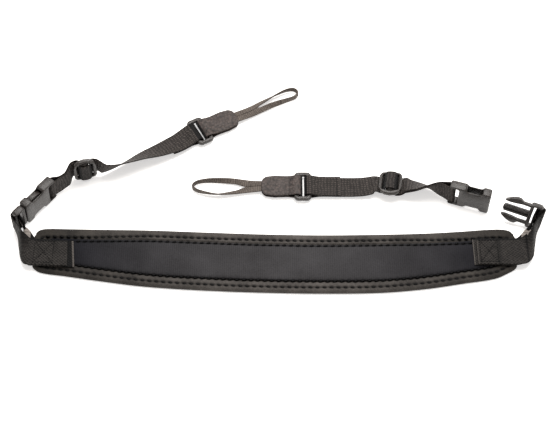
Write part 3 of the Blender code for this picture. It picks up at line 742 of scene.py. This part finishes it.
# The end webbings: one edge and then the other, from the pad to the buckle's bar and back.
WEAVE_STEP = 0.42
END_FLAT_WIDTH = 0.0244  # in metres
MALE_BAR_RADIUS = 2.1
GAP = 0.3
WEBBING_THICKNESS = 1.2
DRAWN_THICKNESS = WEBBING_THICKNESS - 0.2
END_WEBBING_AT_BAR = 17.4
BAR_WRAP_RADIUS = MALE_BAR_RADIUS + GAP + WEBBING_THICKNESS / 2 + 0.3
BAR_LEAD = 3.5
LEFT_INNER = (
    # near edge x, y, z, far edge x, y, z
    (-160.6, -46.8, 6.4, -163.4, -22.0, 6.4), (-162.8, -46.5, 5.9, -165.6, -21.9, 5.9),
    (-184.0, -45.4, 5.9, -184.0, -21.0, 5.9), (-193.0, -45.0, 5.8, -193.0, -20.6, 5.8),
    (-199.0, -43.0, 3.8, -196.0, -17.6, 7.8), (-201.6, -35.0, 2.2, -199.4, -13.6, 10.2),
    (-203.4, -24.5, 1.8, -203.0, -13.0, 15.6), (-203.6, -14.0, 2.6, -202.2, -12.0, 20.0),
)
LEFT_OUTER = (
    (-209.6, -16.0, 2.6, -207.4, -14.5, 20.6), (-207.0, -28.5, 2.8, -203.6, -19.8, 19.4),
    (-204.4, -39.0, 4.8, -200.6, -20.8, 14.8), (-200.4, -44.4, 7.0, -197.8, -20.8, 9.4),
    (-193.0, -45.0, 7.5, -193.0, -20.6, 7.5), (-184.0, -45.4, 7.5, -184.0, -21.0, 7.5),
    (-166.2, -46.2, 7.5, -168.0, -21.8, 7.5),
)
RIGHT_INNER = (
    (160.0, -44.6, 5.9, 160.0, -20.2, 5.9), (184.0, -44.6, 5.9, 184.0, -20.2, 5.9),
    (193.0, -44.6, 5.8, 193.0, -20.2, 5.8), (199.8, -42.0, 3.8, 198.2, -18.0, 7.6),
    (204.0, -36.6, 2.0, 202.0, -15.0, 11.4), (206.6, -25.0, 1.8, 206.2, -12.4, 16.4),
    (207.6, -13.6, 2.8, 209.0, -6.4, 19.2),
)
RIGHT_OUTER = (
    (212.8, -14.5, 2.6, 213.6, -7.0, 18.8), (210.4, -26.0, 2.6, 207.8, -16.0, 18.8),
    (207.8, -36.5, 4.6, 204.0, -18.8, 15.0), (202.0, -43.4, 6.8, 199.8, -20.0, 9.4),
    (193.0, -44.6, 7.5, 193.0, -20.2, 7.5), (184.0, -44.6, 7.5, 184.0, -20.2, 7.5),
    (163.0, -44.6, 7.5, 163.0, -20.2, 7.5),
)


def end_stations(inner, outer, bar, side):
    """(middle, across, width) from the pad, round the buckle's bar, and back on top of itself."""
    middle, forward, width, up = bar
    half = width * END_WEBBING_AT_BAR / 2
    ends = [Vector(row[:3]) + Vector(row[3:]) for row in (inner[-1], outer[0])]
    back = (ends[0] + ends[1]) / 4 - middle
    away = math.degrees(math.atan2(back.dot(up), back.dot(forward)))
    bend = arc(0.0, BAR_WRAP_RADIUS, away - side * 90.0, away - side * 270.0, 8)
    lead = Vector((math.cos(math.radians(away)), math.sin(math.radians(away)))) * BAR_LEAD
    wrap = []
    for x, y in (Vector(bend[0]) + lead, *bend, Vector(bend[-1]) + lead):
        spot = middle + forward * x + up * y
        wrap.append((*(spot - half), *(spot + half)))
    stations = []
    for row in smooth_rows((*inner, *wrap, *outer), WEAVE_STEP):
        near, far = Vector(row[:3]), Vector(row[3:])
        stations.append(((near + far) / 2, (far - near).normalized(), (far - near).length))
    return stations


def edges_at(rows, x):
    """The near and far edges of an end webbing's flat rows at a place along X."""
    rows = sorted(row for row in rows if abs(row[0]) < 194.0)
    places = [row[0] for row in rows]
    return [float(np.interp(x, places, [row[k] for row in rows])) for k in (1, 4)]


def end_shading(side, length):
    """An end webbing's painted shade and painted highlights, and its paler cut ends, from a point
    and its place on the webbing.
    """

    def shading(point, along, across):
        x, y, z = point
        inner = along < length / 2
        if inner and y > -24.0 and z > 6.5 and abs(x) > 195.0:
            lit = z < 13.0 and (x < -198.2 or x > 199.6)
            return -1.0 if lit else 0.8  # turned up into the light between two shaded folds
        if side == "right" and not inner and across > 9.2 and 13.6 < z < 17.2:
            return -0.9  # the far selvedge, where it catches the light
        if across > 10.6 and not inner and z < 12.0:
            return 0.95  # the shaded far selvedge
        # Painted shade along the crease in the outer layer near the buckle.
        crease = math.exp(-(((x - 203.4 + 0.06 * (y + 33.0)) / 0.8) ** 2))
        # Off the pad: painted shade, more the higher it stands, and the crease's painted shade.
        if z > 9.0:  # off the pad, and darker the higher it stands
            return max(min((z - 9.0) / 6.0, 1.0) * 0.55, crease * (not inner))
        if side == "left":
            if inner and 1.6 < along < 9.0:
                return 0.97  # in the shade of the outer layer's end
            # Paler at its cut end.
            return -0.25 * (along < 1.0)
        # A darker seam line across it, the crease's painted shade, and paler at both cut ends.
        seam = 0.45 * math.exp(-(((x - 180.6) / 1.6) ** 2)) * (z > 7.0)
        return crease + seam - 0.25 * (along < 0.7) - 0.15 * (along > length - 0.5)

    return shading


# The connectors. Each row is a bend or a twist: 0 is flat, 90 is on edge and 180 is flat again.
LEFT_LINE = (
    # x, y, z, tilt
    (-210.4, -5.9, 12.5, 93.0), (-198.5, 10.0, 12.5, 93.0), (-185.0, 27.4, 12.3, 93.0),
    (-178.3, 31.6, 11.8, 94.0), (-170.5, 37.4, 12.6, 96.0), (-158.8, 44.4, 14.2, 98.0),
    (-148.0, 45.0, 12.6, 104.0), (-137.5, 48.4, 10.3, 117.0), (-124.5, 55.2, 8.6, 131.0),
    (-111.5, 63.4, 6.8, 146.0), (-98.0, 70.6, 5.1, 161.0), (-84.0, 79.3, 3.9, 174.0),
    (-74.0, 87.0, 3.8, 180.0), (-65.1, 92.4, 3.8, 180.0), (-50.0, 100.2, 3.8, 180.0),
    (-36.5, 106.8, 3.8, 180.0), (-27.0, 111.4, 3.8, 180.0),
)
RIGHT_LINE = (
    (176.7, 12.7, 12.4, 90.0), (161.4, 17.6, 12.4, 90.0), (146.2, 22.6, 12.2, 90.0),
    (137.0, 26.6, 11.0, 84.0), (127.0, 29.6, 9.6, 55.0), (117.0, 31.4, 8.0, 34.0),
    (106.5, 33.4, 7.2, 20.0), (95.5, 35.6, 6.6, 15.0), (84.0, 35.4, 5.2, 8.0),
    (72.0, 34.0, 3.9, 2.0), (52.0, 34.0, 3.8, 0.0), (24.3, 34.2, 3.8, 0.0),
    (5.0, 34.2, 3.8, 0.0), (-9.0, 34.2, 3.8, 0.0),
)
BASE_LENGTH = 8.8
TAIL_BAR_AT = 32.4
TAIL_BAR_RADIUS = 1.7
RING_LENGTH = 14.4
RING_BAR = 3.2
RING_THICKNESS = 3.4
RING_TURN_STRETCH = 1.35
OVERLAP = 26.0
LAYER_PITCH = 1.6
CONNECTOR_WIDTH = 19.4
SLIDER_LIFT = 1.3
HELD_START = 10.0
HELD_END = 17.0
CONNECTORS = (
    # side, line, and along it: the female half's base, the slider's middle and the ring's bar
    ("left", Line(LEFT_LINE), BASE_LENGTH + GAP, 73.6, 176.0),
    ("right", Line(RIGHT_LINE), 0.0, 84.0, 152.0),
)
OVER_CENTRE_BAR = (
    # along, off: from the ring's side, up under one rail and over the centre bar
    (15.0, -1.8), (10.2, -3.1), (7.7, -3.7), (5.7, -3.1), (5.1, -1.3),
    (4.7, 0.4), (3.6, 1.9), (2.0, 2.65), (0.0, 2.85),
)
SEWN_TO_CENTRE_BAR = (
    (-14.0, -2.7), (-10.2, -4.9), (-7.6, -5.4), (-4.9, -4.7), (-3.5, -2.8), (-2.9, -1.2),
    (-2.6, 0.2), (-1.5, 1.1), (0.0, 1.25), (1.5, 1.1), (2.7, 0.2), (3.1, -1.2),
)
SPREAD_IN_SLIDER = (
    # off the slider's middle, how much wider the webbing is drawn, to fill the slider's window
    (-1.0, 6.0), (1.9, 4.5), (2.85, 2.2),
)
SPREAD_REACH = 7.0


def webbing_route(tail_bar, slider, ring_bar):
    """(along, off the line) points of a connector's webbing, from its sewn end at the ring."""
    layer = LAYER_PITCH / 2
    tail_radius = TAIL_BAR_RADIUS + GAP + WEBBING_THICKNESS / 2 + 0.2
    ring_radius = RING_THICKNESS / 2 + GAP + WEBBING_THICKNESS / 2 + 0.35
    route = [(ring_bar - OVERLAP, layer), (ring_bar - 9.0, layer)]
    for along, off in arc(0.0, ring_radius, 115.0, -115.0, 10):
        route.append((ring_bar + along * (RING_TURN_STRETCH if along > 0.0 else 1.0), off))
    route += [(ring_bar - 9.0, -layer), (ring_bar - OVERLAP, -layer)]
    down = [(-along, off) for along, off in OVER_CENTRE_BAR[-2:0:-1]]
    over = (*OVER_CENTRE_BAR, *down, (-14.0, -1.0))
    route += [(slider + along, off + SLIDER_LIFT) for along, off in over]
    route += [(tail_bar + 9.0, layer)]
    route += arc(tail_bar, tail_radius, 65.0, 295.0, 10)
    route += [(tail_bar + 9.0, -layer)]
    route += [(slider + along, off + SLIDER_LIFT) for along, off in SEWN_TO_CENTRE_BAR]
    return route


def held_frame(line, along, slider):
    """(middle, width, up) on the line, held straight where the webbing runs through the slider."""
    middle, _, width, up = line.frame(along)
    held, ahead, across, face = line.frame(slider)
    share = min(max((HELD_END - abs(along - slider)) / (HELD_END - HELD_START), 0.0), 1.0)
    share = share * share * (3.0 - 2.0 * share)
    middle = middle.lerp(held + ahead * (along - slider), share)
    width = width.lerp(across, share).normalized()
    return middle, width, up.lerp(face, share).normalized()


def connector_stations(line, tail_bar, slider, ring_bar):
    """(middle, across, width) along a connector's webbing, from end to end."""
    route = [(along, off, 0.0) for along, off in webbing_route(tail_bar, slider, ring_bar)]
    stations = []
    for along, off, _ in smooth_rows(route, WEAVE_STEP):
        middle, width, up = held_frame(line, along, slider)
        spread = table_value(SPREAD_IN_SLIDER, off - SLIDER_LIFT)
        spread *= math.exp(-(((along - slider) / SPREAD_REACH) ** 2))
        stations.append((middle + up * off, width, CONNECTOR_WIDTH + spread))
    return stations


def connector_shading(slider):
    """A connector's webbing: painted shade past the ring's bar and in the slider, dark stitch dashes
    at its seam, paler at its cut end.
    """
    held, ahead = slider[:2]

    def shading(point, along, across):
        # Painted shade where it wraps round the ring's bar and in the slider's windows.
        if OVERLAP + 2.4 < along < OVERLAP + 12.0:
            return 0.95
        past = abs((point - held).dot(ahead))
        if (point - held).length < 16.0 and past < 7.6:
            return 0.9 if past > 3.3 else 0.35
        stitched = abs(along - 3.0) < 0.5 and across % 2.6 < 1.7
        return 0.6 * stitched - 0.12 * (along < 0.7)

    return shading


# The leather tab: one strip folded round the ring's bar, with the tape's ends between its leaves.
TAB_STEP = 0.5
TAB_FLAT_WIDTH = 0.0204  # in metres
TAB_TURN_STRETCH = 1.65
TAB_TURN_SHADE = 2.6
TAB_LENGTH = 29.0
TAB_TIP_ROUND = 5.0
TAB_HALF_WIDTHS = ((0.0, 9.7), (4.0, 9.6), (18.0, 10.2), (25.0, 9.2), (TAB_LENGTH, 8.2))
LEATHER_THICKNESS = 1.2
LEAF_OFF = 1.36
LEATHER_WRAP_RADIUS = 2.95


def tab_stations(bar):
    """(middle, across, width) from one leaf's tip, round the bar, to the other leaf's tip."""
    middle, forward, width, up = bar
    leaf = [(TAB_LENGTH, LEAF_OFF), (18.0, LEAF_OFF), (7.0, LEAF_OFF + 0.1), (3.4, LEAF_OFF + 0.9)]
    route = [(along, -off, 0.0) for along, off in leaf]
    for x, y in arc(0.0, LEATHER_WRAP_RADIUS, 290.0, 70.0, 12):
        route.append((x * (TAB_TURN_STRETCH if x < 0.0 else 1.0), y, 0.0))
    route += [(along, off, 0.0) for along, off in reversed(leaf)]
    stations = []
    for along, off, _ in smooth_rows(route, TAB_STEP):
        half = table_value(TAB_HALF_WIDTHS, along)
        past = max(along - (TAB_LENGTH - TAB_TIP_ROUND), 0.0)
        half -= TAB_TIP_ROUND - math.sqrt(max(TAB_TIP_ROUND**2 - past**2, 0.0))
        stations.append((middle + forward * along + up * off, width, max(half, 1.0) * 2))
    return stations


def tab_shading(turn):
    """A leather tab has painted shade where it turns round the ring's bar."""
    return lambda point, along, across: 0.95 * (abs(along - turn) < TAB_TURN_SHADE)


# The tape loops: a row for each bend, from one end inside the tab round to the other.
TAPE_WIDTH = 5.0
TAPE_THICKNESS = 1.3
LEFT_TAPE = (
    # x, y, z, tilt
    (-38.6, 109.2, 3.8, 180.0), (-32.8, 112.0, 3.6, 180.0), (-21.6, 118.6, 2.6, 172.0),
    (-10.5, 126.2, 2.8, 150.0), (0.0, 133.2, 3.2, 120.0), (10.0, 138.6, 3.4, 100.0),
    (16.6, 139.4, 3.4, 90.0), (20.0, 135.6, 3.4, 90.0), (17.2, 130.8, 3.4, 90.0),
    (10.0, 127.4, 3.4, 100.0), (-2.0, 122.4, 3.2, 130.0), (-12.0, 117.2, 2.8, 155.0),
    (-20.4, 112.4, 2.6, 172.0), (-30.0, 107.0, 3.6, 180.0), (-35.8, 104.2, 3.8, 180.0),
)
RIGHT_TAPE = (
    (-4.6, 37.2, 3.8, 180.0), (-11.0, 37.5, 3.6, 180.0), (-22.0, 38.8, 2.4, 174.0),
    (-36.0, 40.6, 2.6, 150.0), (-48.0, 41.0, 3.0, 120.0), (-58.0, 40.6, 3.2, 100.0),
    (-66.0, 38.6, 3.2, 90.0), (-69.0, 34.8, 3.2, 90.0), (-66.0, 31.0, 3.2, 90.0),
    (-58.0, 28.4, 3.2, 104.0), (-48.0, 27.0, 3.0, 124.0), (-36.0, 28.6, 2.6, 150.0),
    (-22.0, 31.2, 2.4, 174.0), (-11.0, 32.0, 3.6, 180.0), (-4.6, 32.0, 3.8, 180.0),
)
TAPE_STEP = 0.8
# Where the two strands leave the tab they are drawn wider, so that no gap shows between them.
FILL_WIDTH = 2.8
FILL_END = 21.0
FILL_FADE = 0.4


def tape_stations(rows):
    """(middle, across, width) round a tape loop, from one end to the other."""
    line = Line(rows)
    count = round(line.length / TAPE_STEP)
    stations = []
    for k in range(count + 1):
        along = line.length * k / count
        from_end = min(along, line.length - along)
        middle, _, width, _ = line.frame(along)
        apart = line.frame(line.length - along)[0] - middle
        widest = FILL_WIDTH - (from_end - FILL_END) * FILL_FADE
        fill = max(min(apart.length - TAPE_WIDTH, widest) / 2, 0.0)
        middle = middle + apart.normalized() * fill / 2
        stations.append((middle, width, TAPE_WIDTH + fill))
    return stations


# Stitches
BOX_STITCH = (1.9, 0.6)  # length, thickness
BOX_STITCH_PITCH = 2.3
BOX_INSET = 2.2
BOX_HEIGHT = 8.1


def stitch_tree():
    """Geometry nodes that lay a stitch of thread on each point of a curve, along the curve."""
    tree = bpy.data.node_groups.new("stitch_row", "GeometryNodeTree")
    new_socket = tree.interface.new_socket
    new_socket("Path", in_out="INPUT", socket_type="NodeSocketGeometry")
    for name in ("Length", "Thickness", "Slant"):
        new_socket(name, in_out="INPUT", socket_type="NodeSocketFloat")
    new_socket("Thread", in_out="INPUT", socket_type="NodeSocketMaterial")
    new_socket("Stitches", in_out="OUTPUT", socket_type="NodeSocketGeometry")
    start = add_node(tree, "NodeGroupInput")
    along = add_node(tree, "GeometryNodeResampleCurve", {"Curve": start["Path"]}, mode="EVALUATED")
    tangent = {"Vector": add_node(tree, "GeometryNodeInputTangent")["Tangent"]}
    turn = add_node(tree, "FunctionNodeAlignRotationToVector", tangent, axis="X")
    slant = add_node(tree, "ShaderNodeCombineXYZ", {"Z": start["Slant"]})
    turns = {"Rotation": turn["Rotation"], "Rotate By": slant["Vector"]}
    sides = {"X": start["Length"], "Y": start["Thickness"], "Z": start["Thickness"]}
    ball = add_node(tree, "GeometryNodeMeshUVSphere", {"Segments": 8, "Rings": 6, "Radius": 0.5})
    inputs = {
        "Points": along["Curve"],
        "Instance": ball["Mesh"],
        "Rotation": add_node(tree, "FunctionNodeRotateRotation", turns)["Rotation"],
        "Scale": add_node(tree, "ShaderNodeCombineXYZ", sides)["Vector"],
    }
    copies = add_node(tree, "GeometryNodeInstanceOnPoints", inputs)
    solid = add_node(tree, "GeometryNodeRealizeInstances", {0: copies["Instances"]})
    smooth = add_node(tree, "GeometryNodeSetShadeSmooth", {0: solid[0]})
    inputs = {0: smooth[0], "Material": start["Thread"]}
    dressed = add_node(tree, "GeometryNodeSetMaterial", inputs)
    add_node(tree, "NodeGroupOutput", {0: dressed[0]})
    return tree


def stitch_rows(name, paths, size, closed=False, slant=0.0):
    """A stitch on each point of some paths in millimetres, as one plain mesh."""
    curve = bpy.data.curves.new(name, "CURVE")
    curve.dimensions = "3D"
    for path in paths:
        spline = curve.splines.new("POLY")
        spline.points.add(len(path) - 1)
        for point, place in zip(spline.points, path):
            point.co = (*world(place), 1.0)
        spline.use_cyclic_u = closed
    item = shown(bpy.data.objects.new(name, curve))
    modifier = item.modifiers.new("Stitches", "NODES")
    modifier.node_group = stitches
    length, thickness = size[0] * MM, size[1] * MM
    inputs = {"Length": length, "Thickness": thickness, "Slant": slant, "Thread": thread}
    for socket in stitches.interface.items_tree:
        if socket.in_out == "INPUT" and socket.name in inputs:
            modifier[socket.identifier] = inputs[socket.name]
    return plain(item, name)


def pad_stitch_path(seam):
    """A pad seam's stitches as one closed path, a point to each, lying in their dents."""
    path = []
    middles = [middle for middle, _ in seam]
    for (x, y), inset in zip(middles, inset_from(OUTLINE, middles)):
        on_panel = inset > ON_PANEL_FROM
        height = ON_PANEL_HEIGHT if on_panel else pad_top(x, y, inset)[0] + 0.25
        path.append(Vector((x, y, height)))
    return path


def box_and_cross(start, end, rows):
    """Stitch paths of a box and its two diagonals on a webbing's flat end."""
    corners = []
    for x in (start, end):
        near, far = edges_at(rows, x)
        corners.append(Vector((x, near + BOX_INSET, BOX_HEIGHT)))
        corners.append(Vector((x, far - BOX_INSET, BOX_HEIGHT)))
    a, b, c, d = corners
    lines = ([a, b], [c, d], [a, c], [b, d], [a, d], [b, c])
    return [spaced(line, BOX_STITCH_PITCH, closed=False) for line in lines]


# The table and the light, in metres.
TABLE_REACH = 3.0
TABLE_DROP = 0.0002
TABLE_GLOW = 0.5
ROOM_LIGHT = 0.5
KEY_PLACE = (0.15, 0.55, 1.35)
KEY_SIZE = 1.2
KEY_POWER = 35.0


def add_table():
    """A white table that fills the view, so bright that only close shadows show on it."""
    mesh = bpy.data.meshes.new("table")
    signs = ((-1, -1), (1, -1), (1, 1), (-1, 1))
    corners = [(x * TABLE_REACH, y * TABLE_REACH, 0.0) for x, y in signs]
    mesh.from_pydata(corners, [], [(0, 1, 2, 3)])
    table = bpy.data.objects.new("table", mesh)
    table.location.z = -TABLE_DROP
    material, tree, _ = start_material("white_paper", 0.9, 1.45, 0.1)
    paper = {"Base Color": linear("#f7f6f4"), "Emission Color": linear("#ffffff")}
    paper["Emission Strength"] = TABLE_GLOW
    set_inputs(tree, tree.nodes["Principled BSDF"], paper)
    mesh.materials.append(material)
    shown(table)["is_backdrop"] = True


def add_light():
    """A soft room and one large square light, behind the strap and above it."""
    scene = bpy.context.scene
    scene.view_settings.view_transform = "Standard"
    scene.world = bpy.data.worlds.new("soft_room")
    scene.world.use_nodes = True
    tree = scene.world.node_tree
    room = {"Color": linear("#fff9f5"), "Strength": ROOM_LIGHT}
    set_inputs(tree, tree.nodes["Background"], room)
    lamp = bpy.data.lights.new("key", "AREA")
    lamp.size = KEY_SIZE
    lamp.energy = KEY_POWER
    lamp.color = linear("#fffdfa")[:3]
    light = bpy.data.objects.new("key", lamp)
    light.location = KEY_PLACE
    light.rotation_euler = (-Vector(KEY_PLACE)).to_track_quat("-Z", "Y").to_euler()
    shown(light)


# The strap. The open male half lies turned and tilted on its own; the other follows its line.
RIGHT_MALE_BAR = (214.9, -2.4, 11.8)
RIGHT_MALE_HEADING = 160.0
RIGHT_MALE_PITCH = 4.0
RIGHT_MALE_TILT = 114.0


def add_tape_loop(side, rows):
    """A flat tape that loops out of its tab and back."""
    stations = tape_stations(rows)
    path = [world(middle) for middle, _, _ in stations]
    loop = band("tape_loop_" + side, stations, TAPE_THICKNESS, 4)
    add_piece(loop, tape, ["loop_tape_" + side])
    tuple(path[0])
    length_of(stations) * MM


def add_pad():
    """The foam pad, its knit panel, which is returned, and their two rows of stitches."""
    pad = add_piece(make_neck_pad(), neoprene, ["neck_pad"])
    panel = add_piece(make_centre_panel(), knit, ["centre_panel"])
    for name, seam, seam_at in zip(("outer", "inner"), SEAM_STITCHES, SEAMS_AT):
        paths = [pad_stitch_path(seam)]
        row = stitch_rows("pad_stitches_" + name, paths, PAD_STITCH, True, seam_at[2])
        add_piece(row, thread)
    return panel


def right_male_bar():
    """The frame of the open male half's bar."""
    pitch = Matrix.Rotation(math.radians(-RIGHT_MALE_PITCH), 3, "Y")
    turn = Matrix.Rotation(math.radians(RIGHT_MALE_HEADING), 3, "Z")
    forward = turn @ (pitch @ Vector((1.0, 0.0, 0.0)))
    return frame_from(Vector(RIGHT_MALE_BAR), forward, RIGHT_MALE_TILT)


def add_end_webbing(side, inner, outer, bar, way, box):
    """A webbing from the pad round its buckle's bar and back, with a stitched box on its end."""
    stations = end_stations(inner, outer, bar, way)
    shading = end_shading(side, length_of(stations))
    webbing = band("end_band_" + side, stations, DRAWN_THICKNESS, 26, shading)
    add_piece(webbing, nylon, ["end_webbing_" + side])
    flat = (END_FLAT_WIDTH, length_of(stations) * MM)
    end_stitches = stitch_rows("end_stitches_" + side, box_and_cross(*box, outer), BOX_STITCH)
    add_piece(end_stitches, thread)


def add_connector(side, line, female_at, slider_at, ring_at):
    """A connector's webbing, through its buckle, slider and ring, and then its leather tab."""
    stations = connector_stations(line, female_at + TAIL_BAR_AT, slider_at, ring_at)
    shading = connector_shading(line.frame(slider_at))
    webbing = band("connector_band_" + side, stations, DRAWN_THICKNESS, 20, shading)
    add_piece(webbing, ribbed_nylon, ["connector_webbing_" + side])
    flat = (CONNECTOR_WIDTH * MM, length_of(stations) * MM)
    stations = tab_stations(line.frame(ring_at + RING_LENGTH - RING_BAR))
    shading = tab_shading(length_of(stations) / 2)
    tab = band("tab_" + side, stations, LEATHER_THICKNESS, 16, shading)
    add_piece(tab, leather, ["leather_tab_" + side])
    flat = (TAB_FLAT_WIDTH, length_of(stations) * MM)


def add_mouldings():
    """The buckle halves, sliders and rings, as moulded in one piece each."""
    for node in frame["nodes"]:
        if node.startswith(("male_buckle", "female_buckle", "slider", "tab_ring")):
            add_piece(refined(node, node + "_moulding"), plastic, [node])


thread = make_thread()
neoprene = make_neoprene()
knit = make_knit()
nylon, ribbed_nylon, tape = [make_weave(*weave) for weave in WEAVES]
plastic = make_plastic()
leather = make_leather()
stitches = stitch_tree()

add_camera()
add_table()
add_light()
for side, rows in (("left", LEFT_TAPE), ("right", RIGHT_TAPE)):
    add_tape_loop(side, rows)
panel = add_pad()
left_bar = CONNECTORS[0][1].frame(0.0)
add_end_webbing("left", LEFT_INNER, LEFT_OUTER, left_bar, 1, (-194.0, -178.6))
add_end_webbing("right", RIGHT_INNER, RIGHT_OUTER, right_male_bar(), -1, (165.4, 179.4))
for connector in CONNECTORS:
    add_connector(*connector)
add_mouldings()

corners = (cad_bounds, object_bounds())
[[list(corner) for corner in box] for box in corners]
